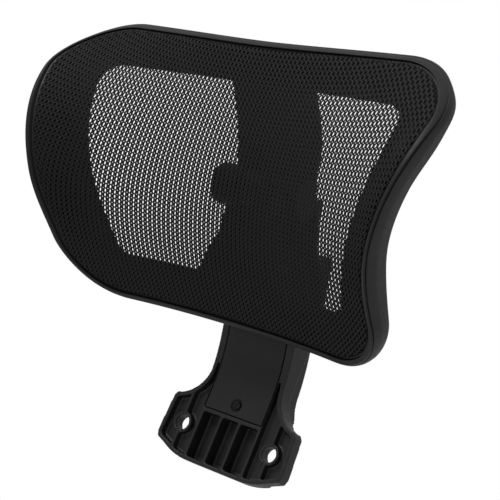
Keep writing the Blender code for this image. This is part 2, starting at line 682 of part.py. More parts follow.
def make_yoke():
    """The headrest's half of the hinge: two knuckles on a base plate, in the panel's frame."""
    bottom, top = YOKE_ENDS
    side = KNUCKLE_SPAN[1]
    base = box((-side, bottom, YOKE_SEAT), (side, top, YOKE_SEAT + YOKE_BASE_THICKNESS))
    yoke = part("tilt_yoke", base, DARK_PLASTIC, tilt, PANEL_FROM_HINGE)
    inner, outer = KNUCKLE_SPAN
    for name, sign in SIDES:
        start = Vector((sign * inner, HINGE_V, HINGE_N))
        end = Vector((sign * outer, HINGE_V, HINGE_N))
        add(yoke, f"knuckle_{name}", cylinder(KNUCKLE_RADIUS, start, end, 40))
    cut(yoke, "below", box((-0.05, -0.05, YOKE_SEAT - 0.02), (0.05, 0.05, YOKE_SEAT)))
    cut(yoke, "middle", box((-inner, YOKE_SLOT[0], YOKE_SEAT - 0.001), (inner, YOKE_SLOT[1], 0.01)))
    centre = Vector((0, HINGE_V, HINGE_N))
    reach = Vector((0.04, 0, 0))
    cut(yoke, "bore", cylinder(AXLE_RADIUS + GAP, centre - reach, centre + reach, 24))
    for number, (x, v) in enumerate(yoke_screw_places()):
        cut(yoke, f"screw_hole_{number}", cylinder(0.0017, (x, v, -0.04), (x, v, -0.01), 16))


def make_yoke_screws():
    names = ["upper_right", "upper_left", "lower_right", "lower_left"]
    head = YOKE_SEAT + YOKE_BASE_THICKNESS + GAP
    for name, (x, v) in zip(names, yoke_screw_places()):
        place = Vector((x, v, head)) + Vector(PANEL_FROM_HINGE)
        make_screw(f"yoke_screw_{name}", place, (0, 0, -1), tilt, length=0.008, head_height=0.0018)


def ring_on_axle(name, outer_radius, start, end, look, segments=32):
    """A washer or a nut on the hinge axis, which is the tilt frame's own X axis."""
    ring = part(name, cylinder(outer_radius, (start, 0, 0), (end, 0, 0), segments), look, tilt)
    cut(ring, "bore", cylinder(AXLE_RADIUS + GAP, (start - 0.01, 0, 0), (end + 0.01, 0, 0), 24))
    return ring


def make_axle():
    """The bolt through the knuckles, its spring washer and nut, and the two friction washers."""
    shaft = part("hinge_axle", cylinder(AXLE_RADIUS, (-0.0300, 0, 0), (0.0325, 0, 0), 24), STEEL, tilt)
    add(shaft, "head", cylinder(0.0070, (-0.0325, 0, 0), (-0.0296, 0, 0), 6))
    ring_on_axle("spring_washer", 0.0085, -0.0293, -0.0283, STEEL)
    ring_on_axle("hinge_lock_nut", 0.0070, 0.0283, 0.0320, STEEL, 6)
    inner = NECK_HALF_WIDTH + GAP
    ring_on_axle("friction_washer_left", WASHER_RADIUS, -inner - 0.0012, -inner, DARK_PLASTIC)
    ring_on_axle("friction_washer_right", WASHER_RADIUS, inner, inner + 0.0012, DARK_PLASTIC)


def make_end_caps():
    """Cups over the bolt's head and the nut. Their rear is cut flat, clear of the bridge."""
    start = KNUCKLE_SPAN[1] + GAP
    flat = YOKE_SEAT - HINGE_N
    for name, sign in SIDES:
        drum = cylinder(KNUCKLE_RADIUS, (sign * start, 0, 0), (sign * CAP_END, 0, 0), 40)
        cap = part(f"hinge_end_cap_{name}", drum, DARK_PLASTIC, tilt)
        hollow_end = CAP_END - 0.0015
        cut(cap, "hollow", cylinder(0.0090, (sign * (start - 0.001), 0, 0), (sign * hollow_end, 0, 0), 32))
        cut(cap, "below", box((-0.05, -0.05, -0.05), (0.05, 0.05, flat)))


# ---------------------------------------------------------------- assembly

clear_scene()
parts = make_collection("chair_headrest_attachment")
cutters = make_collection("cutters")

PANEL = leaning_frame(PANEL_CENTRE, PANEL_LEAN)
HINGE = PANEL @ Vector((0, HINGE_V, HINGE_N))
PANEL_FROM_HINGE = (0, -HINGE_V, -HINGE_N)
arc_end = post_line(SLEEVE_DEPTH / 2, 0, 0)[-1]
SLEEVE = leaning_frame((0, *arc_end), SLEEVE_LEAN)

sleeve_mouth = make_empty("sleeve_mouth", SLEEVE)
slide = make_empty("height_slide", SLEEVE)
tilt = make_empty("tilt_axis", leaning_frame(HINGE, PANEL_LEAN))

make_bracket()
make_cover()
make_screw("cover_screw", (0, -FOOT_DEPTH + COVER_SCREW_SEAT - GAP, COVER_SCREW_Z), (0, 1, 0), length=0.010)
make_bush()
make_stem()
make_shoe()
make_height_brake()
make_frame()
make_mesh()
make_edge_strip()
make_yoke()
make_yoke_screws()
make_axle()
make_end_caps()
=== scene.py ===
"""The looks of the chair headrest attachment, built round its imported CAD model.

Everything is in metres in the CAD frame: -Y is the front and +Z is up. The headrest's panel has a chord
frame of its own, with x across, v up the chord and n out to the front.
"""

from math import cos, pi, radians, sin, tan

import bmesh
import bpy
from mathutils import Matrix, Vector
from mathutils.geometry import interpolate_bezier
from mathutils.kdtree import KDTree


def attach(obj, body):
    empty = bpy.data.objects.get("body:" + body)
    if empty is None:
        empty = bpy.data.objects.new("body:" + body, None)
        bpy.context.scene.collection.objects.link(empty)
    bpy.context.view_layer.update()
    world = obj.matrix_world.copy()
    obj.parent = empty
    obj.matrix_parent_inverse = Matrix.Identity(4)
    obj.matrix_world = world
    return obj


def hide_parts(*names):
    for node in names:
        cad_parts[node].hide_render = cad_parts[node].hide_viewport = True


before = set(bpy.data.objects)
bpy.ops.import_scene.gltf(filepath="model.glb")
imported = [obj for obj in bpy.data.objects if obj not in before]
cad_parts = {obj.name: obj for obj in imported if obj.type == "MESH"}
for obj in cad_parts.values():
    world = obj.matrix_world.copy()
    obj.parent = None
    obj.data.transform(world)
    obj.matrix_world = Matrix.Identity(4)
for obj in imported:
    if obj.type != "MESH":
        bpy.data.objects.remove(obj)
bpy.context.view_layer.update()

# Panel: the same surface and outlines as the CAD model's
PANEL_LEAN = radians(27.5)
PANEL_CENTRE = Vector((0, -0.1017, 0.1496))
BULGE, BULGE_REACH = 0.026, 0.0902          # how far the middle bows out to the front
WRAP, WRAP_HALF_WIDTH = 0.048, 0.145        # how far the sides come forward
WRAP_MIDDLE, WRAP_REACH = -0.0072, 0.1062   # where up the chord they come furthest, and how it fades above
WRAP_DROP, WRAP_DROP_REACH = 0.42, 0.075    # how it fades below
# The groove line and the border's inner edge: right halves, as knots of (handle in, place, handle out)
OUTLINE = [
    (None, (0.0, 0.0886), (0.035, 0.0888)),
    ((0.070, 0.0902), (0.104, 0.0906), (0.127, 0.0906)),
    ((0.1478, 0.074), (0.1455, 0.061), (0.1415, 0.038)),
    ((0.1245, -0.012), (0.124, -0.055), (0.1230, -0.074)),
    ((0.106, -0.0880), (0.086, -0.0881), (0.060, -0.0882)),
    ((0.030, -0.0887), (0.0, -0.0887), None),
]
OPENING = [
    (None, (0.0, 0.066), (0.030, 0.066)),
    ((0.070, 0.066), (0.103, 0.066), (0.112, 0.066)),
    ((0.118, 0.061), (0.1165, 0.052), (0.110, 0.018)),
    ((0.0985, -0.020), (0.0935, -0.049), (0.093, -0.056)),
    ((0.091, -0.061), (0.083, -0.061), (0.055, -0.061)),
    ((0.030, -0.061), (0.0, -0.061), None),
]
# Rim: place up the chord, how far the lip reaches out, how far back its edge is, how far back the wall goes
RIM = [
    (0.0890, 0.0036, 0.0015, 0.0085),
    (0.0790, 0.0042, 0.0022, 0.0085),
    (0.0660, 0.0048, 0.0024, 0.0170),
    (0.0480, 0.0044, 0.0012, 0.0245),
    (0.0250, 0.0038, 0.0003, 0.0225),
    (0.0000, 0.0036, 0.0000, 0.0220),
    (-0.0300, 0.0041, -0.0002, 0.0235),
    (-0.0550, 0.0044, -0.0003, 0.0205),
    (-0.0730, 0.0046, 0.0000, 0.0135),
    (-0.0893, 0.0049, 0.0000, 0.0085),
]
BORDER_DEPTH, BORDER_THICKNESS = 0.011, 0.0035
BORDER_STEPS = 6
BORDER_EDGE = 0.0014                # how far the windows' edges are rounded
LEDGE = 0.006                       # from the groove line to the border's start
LEDGE_FRONT = 0.0018                # how far the ledge's front is behind the panel's surface
# Bridge: place up the chord, half width, and its front along the chord frame's n
BRIDGE = [
    (0.0870, 0.0400, 0.0005),
    (0.0790, 0.0370, -0.0045),
    (0.0660, 0.0335, -0.0135),
    (0.0450, 0.0335, -0.0225),
    (0.0280, 0.0335, -0.0272),
    (0.0080, 0.0320, -0.0273),
    (-0.0200, 0.0380, -0.0274),
    (-0.0380, 0.0405, -0.0265),
    (-0.0520, 0.0480, -0.0255),
    (-0.0670, 0.0525, -0.0230),
    (-0.0790, 0.0560, -0.0100),
    (-0.0870, 0.0580, -0.0015),
]
BRIDGE_THICKNESS = 0.004
BRIDGE_STEPS = 72
BRIDGE_EDGE = 0.0013                # how far its edges are rounded
BRIDGE_CROWN = 0.00005              # its middle stands this much proud of its edges
BRIDGE_CUT = (-0.045, -0.010)       # a cut between these depths goes right through it
# The slot's half width, bottom and top: the bottom is above the CAD's, so no light shows in the photo's view
SLOT = (0.0138, -0.0188, 0.0074)
SLOT_CORNER = 0.003
RIM_STATIONS = 400
CURVE_STEPS = 60                    # along each stretch of an outline

# Bracket: the same sizes as the CAD model's
GAP = 0.0003                        # between parts that fit together
FAR = 0.3                           # past the object on every side
PAST = 0.001                        # how far a cut runs past the face that it opens
FOOT_DEPTH = 0.019
FOOT_BOTTOM = -0.0235
FOOT_HALF_WIDTH = 0.0538
FOOT_SHOULDER_WIDTH = 0.0522
FOOT_WALL = 0.003
FOOT_FLOOR = -0.0085
FOOT_REAR_INSET = 0.0035
FOOT_REAR_STEP = -0.0060
FOOT_RIB_TOP = 0.0122
EAR_TOP = 0.0190
EAR_FRONT_POCKET_TOP, EAR_REAR_POCKET_TOP = 0.060, 0.0140
EAR_WEB_FRONT, EAR_WEB_REAR = -0.0135, -0.0085
EAR_STEP = (0.0415, -0.0085)        # where the ear's rear steps forward, across and in depth
SHOULDER_Z, SHOULDER_REAR = 0.0205, (0.0075, 0.0270)     # where the foot's rear face meets the sleeve
SIDE_BOTTOM = FOOT_BOTTOM - 0.01    # the side outline starts below the foot, and foot_outline trims it
HOLE_HALF_SPACING, HOLE_RADIUS = 0.0375, 0.0054
BOSS_RADIUS, BOSS_FRONT = 0.0075, -0.0183
OUTER_RIB_X, INNER_RIB_X = 0.0243, 0.0077
RIB_THICKNESS = 0.002
SLEEVE_LEAN = radians(20)
SLEEVE_DEPTH, SLEEVE_HALF_WIDTH, SLEEVE_LENGTH = 0.028, 0.0305, 0.065
ARC_BOTTOM, ARC_RADIUS = 0.030, 0.105
CHANNEL_HALF_WIDTH, CHANNEL_WALL = 0.0205, 0.003
CHANNEL_PAST_TOP = 0.005            # how far its cut runs past the sleeve's top
CHANNEL_KNEE = 0.024                # up to here its rear follows the foot's rear wall
FLARE_CENTRE, FLARE_RADIUS = (0.0555, 0.043), 0.025
ABOVE_SLEEVE = 0.170                # where the front outline ends
COVER_HALF_WIDTH, COVER_THICKNESS, COVER_BOTTOM = 0.0245, 0.0026, 0.0152
COVER_EDGE = 0.0005

# Cover screw, its seat in the cover and its post in the bracket
COVER_SCREW_Z, COVER_SCREW_SEAT = 0.023, 0.0015
COVER_HOLE_RADIUS = 0.0017
SCREW_HEAD_RADIUS, SCREW_HEAD_TOP_RADIUS, SCREW_HEAD_HEIGHT = 0.0031, 0.0024, 0.0012
SCREW_SHANK_RADIUS, SCREW_SHANK_LENGTH = 0.0012, 0.010
CROSS_TURNS = (25, 115)             # the two arms of the screw's cross, in degrees
CROSS_HALF_LENGTH, CROSS_HALF_WIDTH, CROSS_DEPTH = 0.0019, 0.0004, 0.0008
SEAT_RADIUS, SEAT_FLOOR_RADIUS = 0.0052, 0.0036
SEAT_LEAD = 0.0005                  # the seat's cone starts this far in front of the cover
SCREW_POST_RADIUS = 0.004
PILOT_RADIUS, PILOT_DEPTH = 0.0015, 0.011

# Tilt hinge, in the panel's frame
HINGE_V, HINGE_N = -0.0035, -0.0185
KNUCKLE_RADIUS, KNUCKLE_SPAN = 0.014, (0.0138, 0.0280)
AXLE_RADIUS, AXLE_REACH = 0.004, 0.04       # its hole runs past both knuckles
CAP_END, CAP_WALL, CAP_HOLLOW_RADIUS, CAP_EDGE = 0.035, 0.0015, 0.0090, 0.0012
YOKE_SEAT, YOKE_BASE_THICKNESS = -0.0277, 0.003
YOKE_ENDS, YOKE_SLOT = (-0.0300, 0.0220), (-0.0200, 0.0120)
YOKE_RECESS = (0.0360, -0.0305, 0.0225)     # in the bridge: half width, bottom and top
IN_FRONT = 0.01                             # in front of the whole yoke
YOKE_SCREW_X, YOKE_SCREW_ROWS = 0.022, (0.0170, -0.0245)
YOKE_SCREW_HOLE_RADIUS = 0.0013             # narrower than the CAD's

# Mesh weave: cells with a large slanting hole alternate with cells that have a small square one
WEAVE_COLUMN, WEAVE_ROW = 0.00342, 0.00281
LARGE_HOLE = (0.00128, 0.00074)     # half length and half width
LARGE_HOLE_TILT = radians(12)
SMALL_HOLE = 0.00064                # from its middle to a corner
YARN_HALF_THICKNESS = 0.00052       # at the cells' corners
HOLE_HALF_DEPTH = 0.00042           # at the holes' rims
WELD = 0.000002                     # points closer than this become one
HALF_COLUMNS, HALF_ROWS = 108, 76   # half cells to each side of the middle
WARP_UNIT = 0.1                     # the distance that the weave's drift is worked out in
MESH_MIDDLE = 0.0003                # behind the panel's surface
TRIM_STATIONS = 2400
HEM_INSET = 0.0003                  # the mesh stops this far inside the groove line
HEM_ROLL, HEM_SINK = 0.0020, 0.0010     # how wide the hem is, and how deep it dips


# ---------------------------------------------------------------- tools

def new_object(name, mesh):
    obj = bpy.data.objects.new(name, mesh)
    bpy.context.scene.collection.objects.link(obj)
    return obj


def finished(bm, name):
    bmesh.ops.recalc_face_normals(bm, faces=bm.faces)
    mesh = bpy.data.meshes.new(name)
    bm.to_mesh(mesh)
    bm.free()
    return mesh


def leaning_frame(origin, lean):
    """A frame with X across, Y up along the lean and Z out to the front."""
    up = Vector((0, -sin(lean), cos(lean)))
    front = Vector((0, -cos(lean), -sin(lean)))
    matrix = Matrix((Vector((1, 0, 0)), up, front)).transposed().to_4x4()
    matrix.translation = origin
    return matrix


def loft(rings, closed):
    """Skin a row of rings of equal length: closed joins the last to the first, else both ends are capped."""
    bm = bmesh.new()
    rows = [[bm.verts.new(point) for point in ring] for ring in rings]
    after = rows[1:] + rows[:1] if closed else rows[1:]
    for ring, following in zip(rows, after):
        count = len(ring)
        for i in range(count):
            j = (i + 1) % count
            bm.faces.new((ring[i], ring[j], following[j], following[i]))
    if not closed:
        bm.faces.new(rows[0])
        bm.faces.new(rows[-1])
    return finished(bm, "loft")


def fillet(corners, steps):
    """A closed outline from corners of (a, b, radius), each rounded to its radius."""
    nearly_straight = 1.55      # half a corner's angle, above which it is left as it is
    share_of_side = 0.48        # the most of a side that one rounding may take
    points = []
    count = len(corners)
    for i, (a, b, radius) in enumerate(corners):
        here = Vector((a, b))
        to_last = Vector(corners[i - 1][:2]) - here
        to_next = Vector(corners[(i + 1) % count][:2]) - here
        half = to_last.angle(to_next, pi) / 2
        if radius <= 0 or half > nearly_straight:
            points.append(here)
            continue
        reach = min(radius / tan(half), to_last.length * share_of_side, to_next.length * share_of_side)
        start = here + to_last.normalized() * reach
        end = here + to_next.normalized() * reach
        for k in range(steps + 1):
            t = k / steps
            points.append(start * (1 - t) ** 2 + here * 2 * t * (1 - t) + end * t ** 2)
    return points


def box(low, high, place=Matrix()):
    bm = bmesh.new()
    low, high = Vector(low), Vector(high)
    size = Matrix.Diagonal((*(high - low), 1))
    bmesh.ops.create_cube(bm, size=1, matrix=place @ Matrix.Translation((low + high) / 2) @ size)
    return finished(bm, "box")


def cylinder(radius, start, end, place=Matrix(), far_radius=None):
    """A cylinder, or a cone, from one point to another."""
    start, end = Vector(start), Vector(end)
    along = end - start
    turn = along.to_track_quat("Z", "Y").to_matrix().to_4x4()
    far_radius = radius if far_radius is None else far_radius
    bm = bmesh.new()
    bmesh.ops.create_cone(bm, cap_ends=True, segments=48, radius1=radius, radius2=far_radius,
                          depth=along.length, matrix=place @ Matrix.Translation((start + end) / 2) @ turn)
    return finished(bm, "cylinder")


def prism(outline, low, high, turn):
    """A filled outline, drawn in the first two axes and extruded from low to high along the third."""
    rings = [[turn @ Vector((a, b, depth)) for a, b in outline] for depth in (low, high)]
    return loft(rings, closed=False)


def arc(centre, radius, start, end, steps=16):
    """Points on an arc from one angle to another, in degrees."""
    angles = [radians(start + (end - start) * k / steps) for k in range(steps + 1)]
    return [(centre[0] + radius * cos(a), centre[1] + radius * sin(a)) for a in angles]


def combine(obj, mesh, operation="DIFFERENCE"):
    """A Boolean with a mesh, held by a tool object that goes when the modifiers are applied."""
    tool = new_object("tool", mesh)
    tool.hide_render = True
    modifier = obj.modifiers.new("combine", "BOOLEAN")
    modifier.operation = operation
    modifier.solver = "EXACT"
    modifier.object = tool


def apply_modifiers(obj):
    """Turn what the modifiers show into the object's own mesh, and remove the tools."""
    tools = [m.object for m in obj.modifiers if m.type == "BOOLEAN"]
    depsgraph = bpy.context.evaluated_depsgraph_get()
    mesh = bpy.data.meshes.new_from_object(obj.evaluated_get(depsgraph))
    obj.modifiers.clear()
    obj.data = mesh
    for tool in tools:
        bpy.data.objects.remove(tool, do_unlink=True)


def subtract_object(obj, tool):
    """Cut one object with another that has modifiers of its own."""
    apply_modifiers(tool)
    combine(obj, tool.data)
    bpy.data.objects.remove(tool, do_unlink=True)


def soften(obj, grid):
    """Round every edge a little, as a moulding's are, by laying a new skin on a fine grid."""
    skin = obj.modifiers.new("skin", "REMESH")
    skin.mode = "VOXEL"
    skin.voxel_size = grid
    rounding = obj.modifiers.new("rounding", "SMOOTH")
    rounding.factor = 0.5
    rounding.iterations = 3
    apply_modifiers(obj)
    obj.data.shade_smooth()


def round_edges(obj, width):
    bevel = obj.modifiers.new("bevel", "BEVEL")
    bevel.width = width
    bevel.segments = 3
    bevel.limit_method = "ANGLE"
    bevel.angle_limit = radians(40)


def smooth_shading(obj, angle):
    """Shade smooth, but for edges sharper than an angle in degrees."""
    obj.data.shade_smooth()
    obj.data.set_sharp_from_angle(angle=radians(angle))


# ---------------------------------------------------------------- panel surface

PANEL = leaning_frame(PANEL_CENTRE, PANEL_LEAN)


def panel_surface(x, v):
    """How far the mesh's face lies in front of the chord."""
    bulge = BULGE * (1 - (v / BULGE_REACH) ** 2)
    if v > WRAP_MIDDLE:
        share = 1 - ((v - WRAP_MIDDLE) / WRAP_REACH) ** 2
    else:
        share = 1 - WRAP_DROP * smooth_step(WRAP_MIDDLE - v, 0, WRAP_DROP_REACH)
    return bulge + WRAP * (x / WRAP_HALF_WIDTH) ** 2 * share


def on_panel(x, v, behind):
    """A point in the CAD frame, a distance behind the panel's surface."""
    return PANEL @ Vector((x, v, panel_surface(x, v) - behind))


def smooth_step(value, low, high):
    t = min(max((value - low) / (high - low), 0), 1)
    return t * t * (3 - 2 * t)


def bezier_path(knots):
    """Points along the curve through some knots."""
    points = []
    for (_, start, leave), (arrive, end, _) in zip(knots, knots[1:]):
        corners = [Vector((*place, 0)) for place in (start, leave, arrive, end)]
        points += interpolate_bezier(*corners, CURVE_STEPS)[:-1]
    return points + [corners[-1]]


def even_steps(points, count):
    """The same path as count + 1 points at equal distances."""
    lengths = [0]
    for before, after in zip(points, points[1:]):
        lengths.append(lengths[-1] + (after - before).length)
    result = []
    segment = 0
    for k in range(count + 1):
        target = lengths[-1] * k / count
        while segment < len(points) - 2 and lengths[segment + 1] < target:
            segment += 1
        share = (target - lengths[segment]) / (lengths[segment + 1] - lengths[segment])
        result.append(points[segment].lerp(points[segment + 1], min(share, 1)))
    return result


def closed_path(knots, count):
    """Evenly spaced points right round an outline that is given by its right half."""
    half = even_steps(bezier_path(knots), count // 2)
    other = [Vector((-p.x, p.y, 0)) for p in reversed(half[1:-1])]
    return half + other


def outward_normals(points):
    """The way out of a clockwise outline at each of its points."""
    normals = []
    count = len(points)
    for i in range(count):
        along = (points[(i + 1) % count] - points[i - 1]).normalized()
        normals.append(Vector((-along.y, along.x, 0)))
    return normals


# ---------------------------------------------------------------- headrest frame

def rim_section(base, outward, inner):
    """A section of the rim and border, whose corners are (across, behind, radius).

    Across is measured out from the groove line, and behind to the rear from the panel's surface.
    """
    reach, drop, depth = curve_through(RIM, base.y)
    ledge = base - outward * LEDGE
    inward = inner - ledge
    width = inward.length
    inward.normalize()
    groove = [
        (-0.0014, 0.0011, 0.0004), (-0.0014, 0.0042, 0.0003), (0.0010, 0.0042, 0.0003),
        (0.0010, -0.0004, 0.0004),
    ]
    lip = [
        (0.0016, -0.0011, 0.0006), (reach - 0.0006, drop - 0.0009, 0.0008),
        (reach - 0.0001, drop + 0.0003, 0.0003), (reach - 0.0008, drop + 0.0010, 0.0002),
    ]
    wall = [
        (reach + 0.0005, drop + 0.0014, 0.0006), (reach + 0.0008, (drop + depth) / 2, 0.02),
        (reach - 0.0002, depth, 0.0024), (0.0008, depth, 0.0012), (0.0006, 0.0070, 0.0020),
        (-0.0035, 0.0064, 0.0030),
    ]
    rear, front = [], []
    for k in range(BORDER_STEPS + 1):
        share = k / BORDER_STEPS
        fall = share * (1.6 - 0.6 * share)
        across = -LEDGE - width * share
        radius = BORDER_EDGE if k == BORDER_STEPS else 0
        rear.append((across, BORDER_DEPTH * fall + BORDER_THICKNESS, radius))
        front.append((across, LEDGE_FRONT + (BORDER_DEPTH - LEDGE_FRONT) * fall, radius))
    corners = groove + lip + wall + rear[1:] + front[::-1]
    ring = []
    for across, behind in fillet(corners, 4):
        if across >= -LEDGE:
            place = base + outward * across
        else:
            place = ledge + inward * (-LEDGE - across)
        ring.append(on_panel(place.x, place.y, behind))
    return ring


def curve_through(rows, position):
    """Smooth values between rows of (position, value, ...), whose positions fall."""
    for index in range(len(rows) - 2):
        if position >= rows[index + 1][0]:
            break
    else:
        index = len(rows) - 2
    before, after = rows[index], rows[index + 1]
    outer = rows[max(index - 1, 0)], rows[min(index + 2, len(rows) - 1)]
    t = (position - before[0]) / (after[0] - before[0])
    values = []
    for k in range(1, len(before)):
        start = (after[k] - outer[0][k]) / (after[0] - outer[0][0]) * (after[0] - before[0])
        end = (outer[1][k] - before[k]) / (outer[1][0] - before[0]) * (after[0] - before[0])
        rise = after[k] - before[k]
        values.append(before[k] + start * t + (3 * rise - 2 * start - end) * t ** 2
                      + (start + end - 2 * rise) * t ** 3)
    return values


def bridge_mesh():
    """The wide strip that joins the top and bottom border behind the mesh."""
    top, bottom = BRIDGE[0][0], BRIDGE[-1][0]
    rings = []
    for k in range(BRIDGE_STEPS + 1):
        v = top + (bottom - top) * k / BRIDGE_STEPS
        half_width, front = curve_through(BRIDGE, v)
        rear = front - BRIDGE_THICKNESS
        corners = [(-half_width, front, BRIDGE_EDGE), (0, front + BRIDGE_CROWN, 0),
                   (half_width, front, BRIDGE_EDGE), (half_width, rear, BRIDGE_EDGE),
                   (0, rear - BRIDGE_CROWN, 0), (-half_width, rear, BRIDGE_EDGE)]
        rings.append([PANEL @ Vector((x, v, n)) for x, n in fillet(corners, 4)])
    return loft(rings, closed=False)


def make_headrest_frame():
    line = closed_path(OUTLINE, RIM_STATIONS)
    inner = closed_path(OPENING, RIM_STATIONS)
    rings = [rim_section(*station) for station in zip(line, outward_normals(line), inner)]
    rim = new_object("headrest_frame_shell", loft(rings, closed=True))
    combine(rim, bridge_mesh(), "UNION")
    half, bottom, top = YOKE_RECESS
    combine(rim, box((-half, bottom, YOKE_SEAT - GAP), (half, top, IN_FRONT), PANEL))
    combine(rim, rounded_slot())
    cut_yoke_screw_holes(rim)
    apply_modifiers(rim)
    smooth_shading(rim, angle=40)
    return rim


def rounded_slot():
    """What is cut from the bridge to let the stem's neck through."""
    half, bottom, top = SLOT
    corners = [(x, v, SLOT_CORNER) for x, v in ((-half, bottom), (half, bottom), (half, top), (-half, top))]
    return prism(fillet(corners, 6), *BRIDGE_CUT, PANEL)


def cut_yoke_screw_holes(obj):
    rear, front = BRIDGE_CUT
    for x in (-YOKE_SCREW_X, YOKE_SCREW_X):
        for v in YOKE_SCREW_ROWS:
            combine(obj, cylinder(YOKE_SCREW_HOLE_RADIUS, (x, v, rear), (x, v, front), PANEL))


# ---------------------------------------------------------------- mesh weave

def trim_tree():
    """The line where the mesh stops, as a search tree with its points and outward normals."""
    line = closed_path(OUTLINE, TRIM_STATIONS)
    normals = outward_normals(line)
    edge = [point - normal * HEM_INSET for point, normal in zip(line, normals)]
    tree = KDTree(len(edge))
    for index, point in enumerate(edge):
        tree.insert(point, index)
    tree.balance()
    return tree, edge, normals


def weave_place(column, row):
    """Where a place in the weave lies on the panel: the mesh is a little skewed, and drawn in at the sides.

    The bare numbers say by how many cells it has drifted, a WARP_UNIT from the middle. The drift depends on
    the place itself, so it is worked out in rounds.
    """
    x, v = column * WEAVE_COLUMN, row * WEAVE_ROW
    for _ in range(6):
        across, up = x / WARP_UNIT, v / WARP_UNIT
        x = WEAVE_COLUMN * (column - 0.9 * across ** 3 - 2 * across * up + 1.9 * up + 2.3 * up ** 2)
        v = WEAVE_ROW * (row + 1.03 * across ** 2 + 3 * across ** 2 * up - 0.3 * across)
    return Vector((x, v, 0))


def make_weave():
    """The mesh as real netting, whose yarn is thickest where four cells meet."""
    tree, edge, normals = trim_tree()
    bm = bmesh.new()
    made = {}

    def vertex(place, height):
        """A point of the netting, pulled in to the trim line where it lies outside."""
        key = (round(place.x, 6), round(place.y, 6), round(height, 6))
        if key in made:
            return made[key]
        _, index, _ = tree.find(place)
        inside = (edge[index] - place).dot(normals[index])
        trimmed = inside < 0
        if trimmed:
            place, height, inside = edge[index], 0, 0
        sink = HEM_SINK * (1 - smooth_step(inside, 0, HEM_ROLL))
        made[key] = (bm.verts.new(on_panel(place.x, place.y, MESH_MIDDLE + sink - height)), trimmed)
        return made[key]

    def face(*corners):
        if all(trimmed for _, trimmed in corners):
            return
        bm.faces.new([v for v, _ in corners])

    cells = [(i / 2, j / 2) for i in range(-HALF_COLUMNS, HALF_COLUMNS + 1)
             for j in range(-HALF_ROWS, HALF_ROWS + 1) if (i + j) % 2 == 0]
    for column, row in cells:
        large = column % 1 == 0
        middle = weave_place(column, row)
        _, index, _ = tree.find(middle)
        wholly_outside = (edge[index] - middle).dot(normals[index]) < -2 * WEAVE_COLUMN
        if wholly_outside:
            continue
        corners = [weave_place(column + a, row + b) for a, b in ((0.5, 0), (0, 0.5), (-0.5, 0), (0, -0.5))]
        if large:
            rim = oval(middle, *LARGE_HOLE)
        else:
            rim = [middle + (corner - middle).normalized() * SMALL_HOLE for corner in corners]
        rims = [[vertex(place, side * HOLE_HALF_DEPTH) for place in rim] for side in (1, -1)]
        for side, inner in zip((1, -1), rims):
            outer = [vertex(place, side * YARN_HALF_THICKNESS) for place in corners]
            for k in range(4):
                following = (k + 1) % 4
                if large:
                    near, between, far = inner[2 * k], inner[2 * k + 1], inner[(2 * k + 2) % 8]
                    face(outer[k], outer[following], between)
                    face(outer[k], between, near)
                    face(outer[following], far, between)
                else:
                    face(outer[k], outer[following], inner[following], inner[k])
        front, back = rims
        for k in range(len(rim)):
            face(front[k - 1], front[k], back[k], back[k - 1])
    bmesh.ops.remove_doubles(bm, verts=bm.verts, dist=WELD)
    bmesh.ops.dissolve_degenerate(bm, edges=bm.edges, dist=WELD / 2)
    bmesh.ops.delete(bm, geom=[v for v in bm.verts if not v.link_faces], context="VERTS")
    weave = new_object("mesh_weave_netting", finished(bm, "netting"))
    weave.data.shade_smooth()
    return weave


def oval(middle, half_length, half_width):
    """Eight points round a slanting oval, of which every other one faces a corner of its cell."""
    long_way = Vector((sin(LARGE_HOLE_TILT), cos(LARGE_HOLE_TILT), 0))
    short_way = Vector((cos(LARGE_HOLE_TILT), -sin(LARGE_HOLE_TILT), 0))
    angles = [k * pi / 4 for k in range(8)]
    return [middle + short_way * half_width * cos(a) + long_way * half_length * sin(a) for a in angles]


def make_edge_strip():
    """The strip at the mesh's hem, pressed into the groove."""
    line = closed_path(OUTLINE, RIM_STATIONS)
    rings = []
    for base, outward in zip(line, outward_normals(line)):
        corners = [(-0.0011, 0.0012, 0.0003), (-0.0011, 0.0039, 0.0002),
                   (0.0007, 0.0039, 0.0002), (0.0007, 0.0012, 0.0004)]
        ring = []
        for across, behind in fillet(corners, 3):
            place = base + outward * across
            ring.append(on_panel(place.x, place.y, behind))
        rings.append(ring)
    strip = new_object("mesh_hem_strip", loft(rings, closed=True))
    smooth_shading(strip, angle=35)
    return strip


# ---------------------------------------------------------------- bracket

ACROSS = Matrix(((0, 0, 1, 0), (1, 0, 0, 0), (0, 1, 0, 0), (0, 0, 0, 1)))      # outline in Y, Z along X
FROM_FRONT = Matrix(((1, 0, 0, 0), (0, 0, 1, 0), (0, 1, 0, 0), (0, 0, 0, 1)))  # outline in X, Z along Y


def post_line(depth, bottom, length):
    """Points in Y, Z up the post, at a depth behind its front face: upright, an arc, then leaning."""
    centre_y = -FOOT_DEPTH - ARC_RADIUS
    lean = SLEEVE_LEAN * 180 / pi
    line = [(-FOOT_DEPTH + depth, bottom)] + arc((centre_y, ARC_BOTTOM), ARC_RADIUS + depth, 0, lean)
    y, z = line[-1]
    line.append((y - length * sin(SLEEVE_LEAN), z + length * cos(SLEEVE_LEAN)))
    return line


